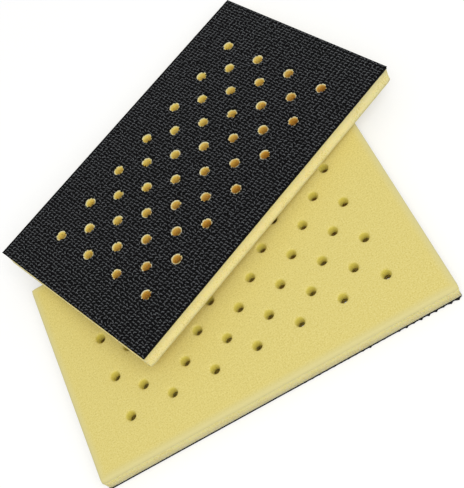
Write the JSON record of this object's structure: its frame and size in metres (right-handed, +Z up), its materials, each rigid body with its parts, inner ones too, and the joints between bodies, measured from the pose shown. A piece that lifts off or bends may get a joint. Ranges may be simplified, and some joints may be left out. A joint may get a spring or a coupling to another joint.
{
  "type": "soft sanding interface pads",
  "caption": "Perforated soft interface pads for a small finishing sander: micro-hook sheet, foam core and loop face, one lying loop side up and one leaning on it hook side up.",
  "frame": {"origin": "centre of the lower pad's underside, on the surface that it lies on", "axes": "+X along the lower pad's length, +Y across its width towards the far long edge that the upper pad leans over, +Z up"},
  "size_m": [0.1546, 0.1553, 0.0223],
  "materials": {
    "hook_sheet": "black moulded polyamide micro-hook sheet, matte with fine glints on the hooks",
    "foam_core": "fine-celled open polyurethane foam, cream yellow, cut faces matte",
    "loop_face": "brushed loop knit, soft yellow, short fuzzy pile"
  },
  "bodies": {
    "lower_pad": {"lower_hook_sheet": "hook_sheet", "lower_foam_core": "foam_core", "lower_loop_face": "loop_face"},
    "upper_pad": {"upper_hook_sheet": "hook_sheet", "upper_foam_core": "foam_core", "upper_loop_face": "loop_face"}
  },
  "joints": [
    {"name": "upper_pad_lift", "type": "slide", "parent": "lower_pad", "child": "upper_pad", "axis": [0, 0, 1], "range_m": [0, 0.08]}
  ]
}
